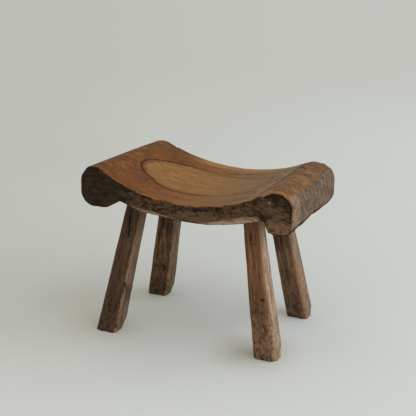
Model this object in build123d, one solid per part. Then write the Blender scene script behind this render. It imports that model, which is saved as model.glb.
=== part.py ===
"""Low hand-carved wooden stool: one dished plank seat with a roll at each end, on four splayed legs.

The seat is carved from one thick plank. Its top is a hollow arc that runs up into a roll at each end,
and its underside is a flatter arc that meets each roll in a carved notch. The two rolls differ, and the
right one sags and thickens towards the back, so the seat is a loft between a front and a back outline.
The top of a roll turns as far at the front as at the back, so that its surface isn't twisted.

Each leg is hewn to a tapered square with its corners taken off, and stands splayed both ways. Its
shoulder is scribed to the underside, and its round tenon sits blind in the seat. The tenon is sawn
across the seat's grain and spread by a hidden wedge, which bears on the blind end of the socket. The
socket is undercut along the grain, so the spread tenon fills it and can't draw out.

Frame: +X along the seat, +Y to the back, +Z up, origin on the floor under the middle of the seat.
All lengths are in millimetres and all angles in degrees.
"""

from build123d import *

import math
import os

# Seat, overall
SEAT_LENGTH = 428.0
SEAT_WIDTH = 284.0
LEFT_END_SKEW = 3.5  # how much further in the left end lies at the back than at the front
RIGHT_END_SKEW = 2.0
END_CHAMFER = 3.0  # round the front and the back outline
ROLL_TOP_ARCS = 4  # equal arcs that the top of a roll is built from
CORNER_WALL_SHARE = 0.95  # of a roll's end face, which its lower corner may round away

# Dish: a hollow arc, tighter at the front than at the back
DISH_LOW_HEIGHT = 295.6  # above the floor, at the front
DISH_RISE = 1.2  # of its lowest line towards the back
DISH_RADIUS = 335.0  # at the front
DISH_RADIUS_GAIN = 63.0  # towards the back
DISH_LOW_X_FRONT = 6.0  # its lowest line lies right of the middle
DISH_LOW_X_BACK = 14.0

# Underside: a flatter arc under the dish, up to a notch beside each roll
SLAB_THICKNESS = 32.4  # at the front
UNDERSIDE_RADIUS = 480.0
UNDERSIDE_LOW_X = 18.0
LEFT_NOTCH_INSET = 84.0  # from the seat's end
RIGHT_NOTCH_INSET = 58.0

# Left roll
LEFT_ROLL_RADIUS_FRONT = 30.0
LEFT_ROLL_RADIUS_BACK = 34.0
LEFT_ROLL_DROP = 26.0  # of its lowest face below the lowest point of the dish
LEFT_ROLL_FOOT_WIDTH = 53.0
LEFT_LOWER_CORNER_RADIUS = 27.0
LEFT_INNER_CORNER_RADIUS = 20.0

# Right roll
RIGHT_ROLL_RADIUS_FRONT = 32.0
RIGHT_ROLL_RADIUS_BACK = 38.0
RIGHT_ROLL_DROP_FRONT = 35.0
RIGHT_ROLL_DROP_BACK = 46.0
RIGHT_ROLL_FOOT_WIDTH = 46.0
RIGHT_LOWER_CORNER_RADIUS_FRONT = 26.0
RIGHT_LOWER_CORNER_RADIUS_BACK = 18.0
RIGHT_INNER_CORNER_RADIUS = 15.0

# Front left leg: where its axis meets the underside, and how far its foot stands out from there
FRONT_LEFT_HEAD_FROM_END = 94.2
FRONT_LEFT_HEAD_FROM_EDGE = 63.0
FRONT_LEFT_SPLAY_ENDWAYS = 58.9
FRONT_LEFT_SPLAY_SIDEWAYS = 31.0
FRONT_LEFT_HEAD_WIDTH = 32.0
FRONT_LEFT_FOOT_WIDTH = 44.3
FRONT_LEFT_CORNER_CUT_SHARE = 0.09  # of the width, taken off each corner of the square

# Rear left leg
REAR_LEFT_HEAD_FROM_END = 98.3
REAR_LEFT_HEAD_FROM_EDGE = 67.2
REAR_LEFT_SPLAY_ENDWAYS = 50.5
REAR_LEFT_SPLAY_SIDEWAYS = 21.5
REAR_LEFT_HEAD_WIDTH = 36.7
REAR_LEFT_FOOT_WIDTH = 44.0
REAR_LEFT_CORNER_CUT_SHARE = 0.04

# Front right leg
FRONT_RIGHT_HEAD_FROM_END = 97.1
FRONT_RIGHT_HEAD_FROM_EDGE = 62.6
FRONT_RIGHT_SPLAY_ENDWAYS = 42.9
FRONT_RIGHT_SPLAY_SIDEWAYS = 20.0
FRONT_RIGHT_HEAD_WIDTH = 30.8
FRONT_RIGHT_FOOT_WIDTH = 46.0
FRONT_RIGHT_CORNER_CUT_SHARE = 0.12

# Rear right leg
REAR_RIGHT_HEAD_FROM_END = 105.5
REAR_RIGHT_HEAD_FROM_EDGE = 64.0
REAR_RIGHT_SPLAY_ENDWAYS = 51.6
REAR_RIGHT_SPLAY_SIDEWAYS = 27.0
REAR_RIGHT_HEAD_WIDTH = 35.8
REAR_RIGHT_FOOT_WIDTH = 44.8
REAR_RIGHT_CORNER_CUT_SHARE = 0.07

# All legs
FOOT_ARRIS = 2.5
SCRIBING_GAP = 0.2  # between a leg's shoulder and the underside

# Wedged joints: lengths run along the leg's axis, up from the shoulder
SHOULDER_WIDTH = 4.0  # of wood on each side of the tenon at the leg's head
SOCKET_COVER = 9.0  # of wood left over the socket's blind end
SOCKET_UNDERCUT = 2.0  # on each side, at the blind end
TENON_CLEARANCE = 0.1
TENON_END_GAP = 1.0
KERF_WIDTH = 1.5
KERF_ROOT_SHARE = 0.12  # of the socket's depth, left unsawn above the shoulder
WEDGE_LENGTH_SHARE = 0.7  # of the socket's depth

SOCKET_DEPTH = SLAB_THICKNESS - SOCKET_COVER
KERF_ROOT = SOCKET_DEPTH * KERF_ROOT_SHARE


def underside_height(x):
    """Height of the underside between the notches."""
    low = DISH_LOW_HEIGHT - SLAB_THICKNESS
    return low + UNDERSIDE_RADIUS - math.sqrt(UNDERSIDE_RADIUS**2 - (x - UNDERSIDE_LOW_X) ** 2)


def roll_centre(end_x, radius, dish_low, dish_radius):
    """Centre of the roll at one end of the seat, whose top arc touches the dish."""
    centre_x = end_x - math.copysign(radius, end_x)
    drop = math.sqrt((dish_radius + radius) ** 2 - (centre_x - dish_low.X) ** 2)
    return Vector(centre_x, dish_low.Y, dish_low.Z + dish_radius - drop)


def turn_into_dish(centre, dish_low, dish_radius):
    """Angle from a roll's end face round to where its top arc touches the dish."""
    rise = dish_low.Z + dish_radius - centre.Z
    return 180 - math.degrees(math.atan2(rise, abs(dish_low.X - centre.X)))


def roll_top(centre, radius, turn):
    """The ends and the middles of the arcs along the top of a roll, from its end face inwards."""
    outward = Vector(math.copysign(radius, centre.X), 0, 0)
    sense = -math.copysign(turn, centre.X)
    steps = 2 * ROLL_TOP_ARCS
    return [
        centre + outward.rotate(Axis.Y, sense * step / steps) for step in range(steps + 1)
    ]


def arcs_through(points):
    """Arcs through each odd point, from one even point to the next."""
    return [ThreePointArc(*points[n : n + 3]) for n in range(0, len(points) - 2, 2)]


def seat_outline(dish_low, left_top, right_top, right_bottom, right_corner):
    """The seat's outline at the depth of its dish's lowest point, as a closed wire."""
    y = dish_low.Y
    left_end = left_top[0]
    right_end = right_top[0]
    left_notch_x = LEFT_NOTCH_INSET - SEAT_LENGTH / 2
    right_notch_x = SEAT_LENGTH / 2 - RIGHT_NOTCH_INSET
    left_notch = Vector(left_notch_x, y, underside_height(left_notch_x))
    right_notch = Vector(right_notch_x, y, underside_height(right_notch_x))
    underside_low = Vector(UNDERSIDE_LOW_X, y, underside_height(UNDERSIDE_LOW_X))

    left_bottom = DISH_LOW_HEIGHT - LEFT_ROLL_DROP
    left_wall = (left_end.Z - left_bottom) * CORNER_WALL_SHARE
    left_lower = FilletPolyline(
        left_notch,
        Vector(left_end.X + LEFT_ROLL_FOOT_WIDTH, y, left_bottom),
        Vector(left_end.X, y, left_bottom),
        left_end,
        radius=[LEFT_INNER_CORNER_RADIUS, min(LEFT_LOWER_CORNER_RADIUS, left_wall)],
    )
    right_wall = (right_end.Z - right_bottom) * CORNER_WALL_SHARE
    right_lower = FilletPolyline(
        right_end,
        Vector(right_end.X, y, right_bottom),
        Vector(right_end.X - RIGHT_ROLL_FOOT_WIDTH, y, right_bottom),
        right_notch,
        radius=[min(right_corner, right_wall), RIGHT_INNER_CORNER_RADIUS],
    )
    return Wire(
        [
            ThreePointArc(left_top[-1], dish_low, right_top[-1]),
            *arcs_through(right_top[::-1]),
            *right_lower.edges(),
            ThreePointArc(right_notch, underside_low, left_notch),
            *left_lower.edges(),
            *arcs_through(left_top),
        ]
    )


def seat_blank():
    """The carved seat before its sockets are cut, with its sharp front and back edges taken off."""
    front_low = Vector(DISH_LOW_X_FRONT, -SEAT_WIDTH / 2, DISH_LOW_HEIGHT)
    back_low = Vector(DISH_LOW_X_BACK, SEAT_WIDTH / 2, DISH_LOW_HEIGHT + DISH_RISE)
    back_radius = DISH_RADIUS + DISH_RADIUS_GAIN
    ends_and_radii = {
        "left": (
            (-SEAT_LENGTH / 2, LEFT_ROLL_RADIUS_FRONT),
            (-SEAT_LENGTH / 2 + LEFT_END_SKEW, LEFT_ROLL_RADIUS_BACK),
        ),
        "right": (
            (SEAT_LENGTH / 2, RIGHT_ROLL_RADIUS_FRONT),
            (SEAT_LENGTH / 2 - RIGHT_END_SKEW, RIGHT_ROLL_RADIUS_BACK),
        ),
    }
    tops = {}
    for side, (front_roll, back_roll) in ends_and_radii.items():
        front_centre = roll_centre(*front_roll, front_low, DISH_RADIUS)
        back_centre = roll_centre(*back_roll, back_low, back_radius)
        front_turn = turn_into_dish(front_centre, front_low, DISH_RADIUS)
        back_turn = turn_into_dish(back_centre, back_low, back_radius)
        turn = (front_turn + back_turn) / 2
        tops[side] = (
            roll_top(front_centre, front_roll[1], turn),
            roll_top(back_centre, back_roll[1], turn),
        )

    front = seat_outline(
        front_low,
        tops["left"][0],
        tops["right"][0],
        DISH_LOW_HEIGHT - RIGHT_ROLL_DROP_FRONT,
        RIGHT_LOWER_CORNER_RADIUS_FRONT,
    )
    back = seat_outline(
        back_low,
        tops["left"][1],
        tops["right"][1],
        DISH_LOW_HEIGHT - RIGHT_ROLL_DROP_BACK,
        RIGHT_LOWER_CORNER_RADIUS_BACK,
    )
    solid = Solid.make_loft([front, back], ruled=True)
    for end in (Axis.Y, -Axis.Y):
        face = solid.faces().sort_by(end)[-1]
        solid = solid.chamfer(END_CHAMFER, None, face.edges())
    return solid


def leg_axis(side_x, side_y, head_from_end, head_from_edge, splay_endways, splay_sideways):
    """The head of a leg, where its axis meets the underside, and its foot on the floor."""
    head_x = side_x * (SEAT_LENGTH / 2 - head_from_end)
    head_y = side_y * (SEAT_WIDTH / 2 - head_from_edge)
    head = Vector(head_x, head_y, underside_height(head_x))
    foot = Vector(head_x + side_x * splay_endways, head_y + side_y * splay_sideways, 0)
    return head, foot


def hewn_section(centre, width, cut_share):
    """A level square with its corners taken off, as a closed wire."""
    half = width / 2
    short = half - width * cut_share
    corners = [
        (half, -short),
        (half, short),
        (short, half),
        (-short, half),
        (-half, short),
        (-half, -short),
        (-short, -half),
        (short, -half),
    ]
    return Wire.make_polygon([centre + Vector(x, y, 0) for x, y in corners])


def leg_shaft(head, foot, head_width, foot_width, cut_share):
    """The hewn leg from its worn foot up into the seat, before its head is scribed."""

    def section(height, inset):
        share = (height - foot.Z) / (head.Z - foot.Z)
        width = foot_width + (head_width - foot_width) * share - 2 * inset
        return hewn_section(foot + (head - foot) * share, width, cut_share)

    notch_height = max(
        underside_height(LEFT_NOTCH_INSET - SEAT_LENGTH / 2),
        underside_height(SEAT_LENGTH / 2 - RIGHT_NOTCH_INSET),
    )
    sections = [section(0, FOOT_ARRIS), section(FOOT_ARRIS, 0), section(notch_height, 0)]
    return Solid.make_loft(sections, ruled=True)


def joint_plane(head, foot):
    """The plane of a leg's shoulder: z up its axis, and x across the saw cut."""
    return Plane(origin=head, x_dir=(1, 0, 0), z_dir=head - foot)


def spread_at(height):
    """How far each half of the tenon has moved out at a height above the shoulder."""
    return SOCKET_UNDERCUT * (height - KERF_ROOT) / (SOCKET_DEPTH - KERF_ROOT)


def spread_peg(radius, height):
    """A peg that is round up to the root of its saw cut and spread along x above it."""
    buried = Cylinder(radius, radius + KERF_ROOT, align=(Align.CENTER, Align.CENTER, Align.MIN))
    peg = Pos(0, 0, -radius) * buried
    spread = spread_at(height)
    rise = height - KERF_ROOT
    for side in (-1, 1):
        arc = CenterArc((0, 0), radius, -90 * side, 180)
        half_disc = make_face([arc, Line(arc @ 1, arc @ 0)])
        half_disc = Pos(0, 0, KERF_ROOT) * half_disc
        peg += Solid.extrude(half_disc.face(), Vector(side * spread, 0, rise))
    fill = Plane.XZ * make_face(
        Polyline((0, KERF_ROOT), (spread, height), (-spread, height), close=True)
    )
    return peg + extrude(fill, radius, both=True)


def kerf_prism(reach, low, high, clearance):
    """The opened saw cut between two heights, thinned by a clearance on each flank."""
    half_low = KERF_WIDTH / 2 + spread_at(low) - clearance
    half_high = KERF_WIDTH / 2 + spread_at(high) - clearance
    profile = Polyline(
        (half_low, low), (half_high, high), (-half_high, high), (-half_low, low), close=True
    )
    return extrude(Plane.XZ * make_face(profile), reach, both=True)


def tenon_radius(head_width):
    """Radius of a tenon at its shoulder."""
    return head_width / 2 - SHOULDER_WIDTH


def socket(head, foot, head_width):
    """The undercut socket for one tenon, as the solid that is taken out of the seat."""
    peg = spread_peg(tenon_radius(head_width) + TENON_CLEARANCE, SOCKET_DEPTH)
    return joint_plane(head, foot) * peg


def leg(blank, head, foot, head_width, foot_width, cut_share):
    """One leg: its shaft scribed to the seat, and its sawn tenon spread in the socket."""
    radius = tenon_radius(head_width)
    top = SOCKET_DEPTH - TENON_END_GAP
    shaft = leg_shaft(head, foot, head_width, foot_width, cut_share)
    shaft -= Pos(0, 0, -SCRIBING_GAP) * blank
    tenon = spread_peg(radius, top) - kerf_prism(head_width, KERF_ROOT, top, 0)
    return shaft + joint_plane(head, foot) * tenon


def wedge(head, foot, head_width):
    """The hidden wedge in one tenon, driven home against the socket's blind end."""
    high = SOCKET_DEPTH - TENON_CLEARANCE
    low = SOCKET_DEPTH * (1 - WEDGE_LENGTH_SHARE)
    prism = kerf_prism(head_width, low, high, TENON_CLEARANCE)
    return joint_plane(head, foot) * (prism & spread_peg(tenon_radius(head_width), high))


def main():
    legs = {
        "front_left": (
            leg_axis(
                -1,
                -1,
                FRONT_LEFT_HEAD_FROM_END,
                FRONT_LEFT_HEAD_FROM_EDGE,
                FRONT_LEFT_SPLAY_ENDWAYS,
                FRONT_LEFT_SPLAY_SIDEWAYS,
            ),
            FRONT_LEFT_HEAD_WIDTH,
            FRONT_LEFT_FOOT_WIDTH,
            FRONT_LEFT_CORNER_CUT_SHARE,
        ),
        "rear_left": (
            leg_axis(
                -1,
                1,
                REAR_LEFT_HEAD_FROM_END,
                REAR_LEFT_HEAD_FROM_EDGE,
                REAR_LEFT_SPLAY_ENDWAYS,
                REAR_LEFT_SPLAY_SIDEWAYS,
            ),
            REAR_LEFT_HEAD_WIDTH,
            REAR_LEFT_FOOT_WIDTH,
            REAR_LEFT_CORNER_CUT_SHARE,
        ),
        "front_right": (
            leg_axis(
                1,
                -1,
                FRONT_RIGHT_HEAD_FROM_END,
                FRONT_RIGHT_HEAD_FROM_EDGE,
                FRONT_RIGHT_SPLAY_ENDWAYS,
                FRONT_RIGHT_SPLAY_SIDEWAYS,
            ),
            FRONT_RIGHT_HEAD_WIDTH,
            FRONT_RIGHT_FOOT_WIDTH,
            FRONT_RIGHT_CORNER_CUT_SHARE,
        ),
        "rear_right": (
            leg_axis(
                1,
                1,
                REAR_RIGHT_HEAD_FROM_END,
                REAR_RIGHT_HEAD_FROM_EDGE,
                REAR_RIGHT_SPLAY_ENDWAYS,
                REAR_RIGHT_SPLAY_SIDEWAYS,
            ),
            REAR_RIGHT_HEAD_WIDTH,
            REAR_RIGHT_FOOT_WIDTH,
            REAR_RIGHT_CORNER_CUT_SHARE,
        ),
    }
    os.makedirs("parts", exist_ok=True)
    blank = seat_blank()
    seat = blank
    for name, ((head, foot), head_width, foot_width, cut_share) in legs.items():
        seat = seat - socket(head, foot, head_width)
        shaped = leg(blank, head, foot, head_width, foot_width, cut_share)
        export_step(shaped, f"parts/leg_{name}.step")
        export_step(wedge(head, foot, head_width), f"parts/wedge_{name}.step")
    export_step(seat, "parts/seat.step")


main()
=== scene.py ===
"""Looks of the hand-carved stool: weathered wood with its carving marks, wear and cracks.

The CAD solids stay the frame. The seat and the legs are redrawn over them from the same outlines, with
the unevenness that carving, use and drying leave, and the sockets and tenons are taken from the solids.
Shapes are worked out in millimetres, and each piece is scaled to metres at the end.
"""

import itertools
import math
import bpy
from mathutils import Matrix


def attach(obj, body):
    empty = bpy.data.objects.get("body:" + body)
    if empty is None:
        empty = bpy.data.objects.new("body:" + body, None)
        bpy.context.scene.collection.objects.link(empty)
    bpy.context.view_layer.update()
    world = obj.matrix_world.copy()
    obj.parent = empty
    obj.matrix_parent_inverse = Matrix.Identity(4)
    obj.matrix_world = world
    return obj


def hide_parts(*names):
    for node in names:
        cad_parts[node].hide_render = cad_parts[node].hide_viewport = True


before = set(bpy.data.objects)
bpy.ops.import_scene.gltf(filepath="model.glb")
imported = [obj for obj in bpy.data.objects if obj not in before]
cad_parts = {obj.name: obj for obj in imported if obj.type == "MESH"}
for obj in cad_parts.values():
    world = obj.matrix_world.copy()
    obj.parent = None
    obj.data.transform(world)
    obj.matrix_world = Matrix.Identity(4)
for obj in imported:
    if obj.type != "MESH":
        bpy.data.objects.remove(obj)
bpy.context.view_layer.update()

from types import SimpleNamespace

import bmesh
import bpy
import numpy as np
from mathutils import Matrix

norm = np.linalg.norm
MILLIMETRE = 0.001

# The seat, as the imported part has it
SEAT_LENGTH, SEAT_WIDTH = 428.0, 284.0
HALF_LENGTH, HALF_WIDTH = SEAT_LENGTH / 2, SEAT_WIDTH / 2
UNDERSIDE_LOW = (18.0, 263.2)
UNDERSIDE_RADIUS = 480.0
LEFT_NOTCH_X, RIGHT_NOTCH_X = -130.0, 156.0
# Front and back outline: the dish's lowest point and radius, each end's place and the radius of its
# roll, the rolls' lowest faces, and the radius of the right one's lower corner
OUTLINES = (
    dict(
        low=(6.0, 295.6), dish=335.0, ends=(-HALF_LENGTH, HALF_LENGTH), rolls=(30.0, 32.0),
        bottoms=(269.6, 260.6), corner=26.0,
    ),
    dict(
        low=(14.0, 296.8), dish=398.0, ends=(-210.5, 212.0), rolls=(34.0, 38.0),
        bottoms=(269.6, 249.6), corner=18.0,
    ),
)
# Widths of the rolls' lowest faces, and the radii of their other lower corners, outer ones first
LEFT_FOOT_WIDTH, RIGHT_FOOT_WIDTH = 53.0, 46.0
LEFT_CORNERS, RIGHT_INNER_CORNER = (27.0, 20.0), 15.0
TOP, BOTTOM = 0, 1
# Middle of the right roll's front face
ROLL_X, ROLL_Z = 182.0, 299.0
# Height of the growth rings' middle, and about how far the dark ring in the dish lies from it
PITH_HEIGHT, RING_RADIUS = 219.0, 110.0

# Head of each leg where its axis meets the underside, its foot on the floor, the widths there, the
# corners' cut as a share of the width, how much more the front right corner is cut at the foot, and the
# seed of its unevenness
LEGS = {
    "leg_front_left": dict(
        head=(-119.8, -79.0), foot=(-178.7, -110.0), widths=(32.0, 44.3), cut=0.09, bevel=0.02, seed=100
    ),
    "leg_rear_left": dict(
        head=(-115.7, 74.8), foot=(-166.2, 96.3), widths=(36.7, 44.0), cut=0.05, bevel=0.03, seed=200
    ),
    "leg_front_right": dict(
        head=(116.9, -79.4), foot=(159.8, -99.4), widths=(30.8, 46.0), cut=0.12, bevel=0.10, seed=300
    ),
    "leg_rear_right": dict(
        head=(108.5, 78.0), foot=(160.1, 105.0), widths=(35.8, 44.8), cut=0.08, bevel=0.07, seed=400
    ),
}
# About how high the legs are, for their marks, and the gap under the seat at their shoulders
LEG_HEIGHT, SHOULDER_GAP = 264.0, 0.2
# The tenon and its socket lie this far inside the head's sides, and between these places along the axis
TENON_INSET = 1.4
TENON_LOW, TENON_HIGH = -12, 25

# Fineness of the meshes: the seat's grid, the rows of its front and back faces, a leg's sides and rows
CELL, CAP_ROWS = 2.0, 34
LEG_SIDES, LEG_ROWS = 112, 130
# Width of the band at the front and back that the worn arrises take up
RIM_BAND = 5.5

# Camera and room, in metres and degrees
CAMERA_PLACE = (0.6115, -1.4416, 0.7469)
CAMERA_PITCH, CAMERA_YAW = 17.67, 23.27
FOCAL_LENGTH, SENSOR_WIDTH = 71.0, 36.0
FLOOR_RADIUS = 30.0
SUN_AZIMUTH, SUN_ELEVATION, SUN_SPREAD = 6.0, 34.0, 75.0
SUN_STRENGTH, SKY_STRENGTH = 1.62, 0.71
CRACK_COLOUR = (0.014, 0.009, 0.006)
BUMP_DEPTH = 0.0009


def smooth(values, low, high):
    """0 below low, 1 above high, and an even S between them."""
    share = np.clip((np.asarray(values, float) - low) / (high - low), 0, 1)
    return share * share * (3 - 2 * share)


def fall(values, low, high):
    """1 below low, 0 above high, and an even S between them."""
    return 1 - smooth(values, low, high)


def bell(values, width):
    """1 at 0, and fading to nothing on both sides over about twice the width."""
    return np.exp(-((np.asarray(values) / width) ** 2))


def scatter(cells, seed):
    """A fixed random value from -1 to 1 for each cell of a lattice; the large numbers only mix bits."""
    factors = np.array([374761393, 668265263, 2246822519], np.uint32)
    bits = (cells.astype(np.uint32) * factors).sum(axis=1, dtype=np.uint32)
    bits = bits + np.uint32(seed * 3266489 + 374761)
    for shift, factor in ((15, 2246822519), (13, 3266489917), (16, 1)):
        bits = (bits ^ (bits >> np.uint32(shift))) * np.uint32(factor)
    return bits.astype(float) / 2147483647.5 - 1


def noise(points, size, seed):
    """Smooth noise from about -1 to 1, whose lumps are as large as size along each axis."""
    place = points / np.asarray(size, float) + 1000
    cell = np.floor(place)
    part = place - cell
    part = part * part * (3 - 2 * part)
    total = np.zeros(len(place))
    for corner in itertools.product((0, 1), repeat=3):
        weight = np.where(corner, part, 1 - part).prod(axis=1)
        total += weight * scatter((cell + corner).astype(np.int64), seed)
    return total


def fractal(points, size, seed, octaves=3):
    """Noise with finer and fainter noise on top."""
    size = np.asarray(size, float)
    layers = [noise(points, size / 2**n, seed + n) / 2**n for n in range(octaves)]
    return sum(layers) / (2 - 0.5 ** (octaves - 1))


def wavered(points, size, seed, amount):
    """Points moved about by noise, so that lines through them wander."""
    return points + np.column_stack([noise(points, size, seed + k) * amount for k in range(3)])


def path_distance(points, path):
    """Distance of each point to a line through the points of path."""
    best = np.full(len(points), 1e3)
    path = np.asarray(path, float)
    for start, end in zip(path[:-1], path[1:]):
        run = end - start
        share = np.clip((points - start) @ run / (run @ run), 0, 1)
        best = np.minimum(best, norm(points - start - share[:, None] * run, axis=1))
    return best


def crack_distance(points, path):
    """Distance to a crack that narrows towards its two ends."""
    ends = [norm(points - np.asarray(path[n], float), axis=1) for n in (0, -1)]
    return path_distance(points, path) + 1.5 * bell(np.min(ends, axis=0), 11)


def arc(centre, radius, start, end):
    turn = np.linspace(start, end, 120)
    return np.asarray(centre) + radius * np.column_stack([np.cos(turn), np.sin(turn)])


def arc_through(start, middle, end):
    """The arc from start through middle to end, which hangs down like the dish."""
    rows = 2 * np.array([middle - start, end - start])
    centre = np.linalg.solve(rows, [middle @ middle - start @ start, end @ end - start @ start])
    turns = [math.atan2(*(point - centre)[::-1]) for point in (start, end)]
    return arc(centre, norm(middle - centre), *turns)


def fillet(before, corner, after, radius):
    """The arc that rounds the corner of a polyline."""
    back = (before - corner) / norm(before - corner)
    on = (after - corner) / norm(after - corner)
    half = math.acos(back @ on) / 2
    middle = (back + on) / norm(back + on)
    side = (on - back) / norm(on - back)
    turn = np.linspace(half - math.pi / 2, math.pi / 2 - half, 60)[:, None]
    return corner + middle * radius / math.sin(half) + radius * (np.sin(turn) * side - np.cos(turn) * middle)


def resample(line, count):
    """count steps of even length along a line."""
    steps = np.concatenate([[0], np.cumsum(norm(np.diff(line, axis=0), axis=1))])
    at = np.linspace(0, steps[-1], count + 1)
    return np.column_stack([np.interp(at, steps, line[:, n]) for n in (0, 1)])


def underside(x):
    """Height of the arc below the plank."""
    rise = np.sqrt(UNDERSIDE_RADIUS**2 - (x - UNDERSIDE_LOW[0]) ** 2)
    return UNDERSIDE_LOW[1] + UNDERSIDE_RADIUS - rise


def roll_place(end_x, radius, low, dish):
    """Centre of a roll, and how far its top arc turns from its end face into the dish."""
    centre_x = end_x - math.copysign(radius, end_x)
    drop = math.sqrt((dish + radius) ** 2 - (centre_x - low[0]) ** 2)
    return (centre_x, low[1] + dish - drop), math.pi - math.atan2(drop, abs(low[0] - centre_x))


def rounded(corners, radii):
    """A polyline of four corners with the middle two rounded, as its five pieces."""
    rounds = [fillet(*corners[n : n + 3], radii[n]) for n in (0, 1)]
    ends = [corners[0], rounds[0][0], rounds[0][-1], rounds[1][0], rounds[1][-1], corners[-1]]
    lines = [np.array(ends[n : n + 2]) for n in (0, 2, 4)]
    return [lines[0], rounds[0], lines[1], rounds[1], lines[2]]


def outlines():
    """Top and bottom lines of the front and the back outline, each from left to right."""
    places = []
    for outline in OUTLINES:
        rolls = zip(outline["ends"], outline["rolls"])
        places.append([roll_place(end, radius, outline["low"], outline["dish"]) for end, radius in rolls])
    turns = [(places[0][side][1] + places[1][side][1]) / 2 for side in (0, 1)]
    pieces = []
    for outline, ((left, _), (right, _)) in zip(OUTLINES, places):
        left_top = arc(left, outline["rolls"][0], math.pi, math.pi - turns[0])
        right_top = arc(right, outline["rolls"][1], turns[1], 0)
        dish = arc_through(left_top[-1], np.array(outline["low"]), right_top[0])
        left_notch = np.array([LEFT_NOTCH_X, underside(LEFT_NOTCH_X)])
        right_notch = np.array([RIGHT_NOTCH_X, underside(RIGHT_NOTCH_X)])
        (left_x, right_x), (left_z, right_z) = outline["ends"], outline["bottoms"]
        left_foot = np.array([[left_x, left_z], [left_x + LEFT_FOOT_WIDTH, left_z]])
        right_foot = np.array([[right_x - RIGHT_FOOT_WIDTH, right_z], [right_x, right_z]])
        between = np.linspace(LEFT_NOTCH_X, RIGHT_NOTCH_X, 200)
        bottom = rounded([left_top[0], *left_foot, left_notch], LEFT_CORNERS)
        bottom.append(np.column_stack([between, underside(between)]))
        corners = (RIGHT_INNER_CORNER, outline["corner"])
        bottom += rounded([right_notch, *right_foot, right_top[-1]], corners)
        pieces.append(([left_top, dish, right_top], bottom))
    lengths = [norm(np.diff(line, axis=0), axis=1).sum() for line in pieces[0][1]]
    counts = [max(2, round(length / CELL / 1.1)) for length in lengths]
    groups = [sum(counts[:5]), counts[5], sum(counts[6:])]
    made = []
    for top, bottom in pieces:
        pair = []
        for lines, steps in ((top, groups), (bottom, counts)):
            runs = [resample(line, count) for line, count in zip(lines, steps)]
            pair.append(np.vstack([runs[0]] + [run[1:] for run in runs[1:]]))
        made.append(pair)
    return made


FRONT, BACK = outlines()


def height_at(which, x, y):
    """Height of the seat's TOP or BOTTOM over a place."""
    share = np.clip(y / SEAT_WIDTH + 0.5, 0, 1)
    low, high = (np.interp(x, outline[which][:, 0], outline[which][:, 1]) for outline in (FRONT, BACK))
    return low + (high - low) * share


def band_faces(rings, count):
    """The four-sided faces between closed rings of count vertices, numbered one ring after another."""
    here = np.arange(count)
    on = (here + 1) % count
    band = np.column_stack([here, on, on + count, here + count])
    return np.vstack([band + n * count for n in range(rings - 1)]).tolist()


def seat_shell():
    """Vertices and faces of the seat without its sockets, with worn arrises at the front and back."""
    stations = len(FRONT[0])
    loops = [np.vstack([top, bottom[-2:0:-1]]) for top, bottom in (FRONT, BACK)]
    count = len(loops[0])
    inward = []
    for loop in loops:
        run = np.roll(loop, -1, axis=0) - np.roll(loop, 1, axis=0)
        run /= norm(run, axis=1)[:, None]
        inward.append(np.column_stack([run[:, 1], -run[:, 0]]))
    turns = np.radians([0, 22, 45, 67, 90])
    rows = []
    for side, loop in zip((-1, 1), loops):
        places = np.column_stack([loop[:, 0], np.full(count, side * 50.0), loop[:, 1]])
        radius = 2.3 + 1.0 * fractal(places, 16, 3)
        radius = radius + 0.8 * smooth(loop[:, 0], 150, 175) * (side < 0)
        ends = []
        for turn in turns[::-side]:
            ends.append((side * (HALF_WIDTH - radius * (1 - math.cos(turn))), radius * (1 - math.sin(turn))))
        rows.append(ends)
    reach = HALF_WIDTH - RIM_BAND
    inner = np.linspace(-reach, reach, int(2 * reach / CELL) + 1)
    rows = rows[0] + [(np.full(count, y), np.zeros(count)) for y in inner] + rows[1]
    vertices = []
    for y, inset in rows:
        share = (y / SEAT_WIDTH + 0.5)[:, None]
        flat = loops[0] * (1 - share) + loops[1] * share
        flat += (inward[0] * (1 - share) + inward[1] * share) * inset[:, None]
        vertices.append(np.column_stack([flat[:, 0], y, flat[:, 1]]))
    vertices = np.vstack(vertices)
    faces = band_faces(len(rows), count)
    # The front and back faces, as rows between the top and bottom lines
    for first, flip in ((0, False), ((len(rows) - 1) * count, True)):
        column = np.arange(1, stations - 1)
        upper, under = first + column, first + count - column
        start = len(vertices)
        shares = np.linspace(0, 1, CAP_ROWS + 1)[1:-1]
        inside = [vertices[upper] + (vertices[under] - vertices[upper]) * share for share in shares]
        vertices = np.vstack([vertices, *inside])
        grid = [upper] + [start + n * len(column) + np.arange(len(column)) for n in range(len(shares))]
        grid = np.array(grid + [under])
        cap = []
        for n in range(CAP_ROWS):
            here, below = grid[n], grid[n + 1]
            cap += np.column_stack([here[:-1], below[:-1], below[1:], here[1:]]).tolist()
            cap.append([first, below[0], here[0]])
            cap.append([here[-1], below[-1], first + stations - 1])
        faces += [face[::-1] for face in cap] if flip else cap
    return vertices, faces


def rim_distance(points):
    """Distance of each point of the seat to the arris round its front or back face."""
    rim = HALF_WIDTH - np.abs(points[:, 1])
    for side, outline in ((-1, FRONT), (1, BACK)):
        cap = np.flatnonzero(side * points[:, 1] > HALF_WIDTH - 0.4)
        loop = np.vstack([outline[0], outline[1][::-1]])
        for some in np.array_split(cap, 40):
            apart = points[some][:, None, [0, 2]] - loop[None]
            rim[some] = np.sqrt((apart**2).sum(axis=2).min(axis=1))
    return rim


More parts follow.
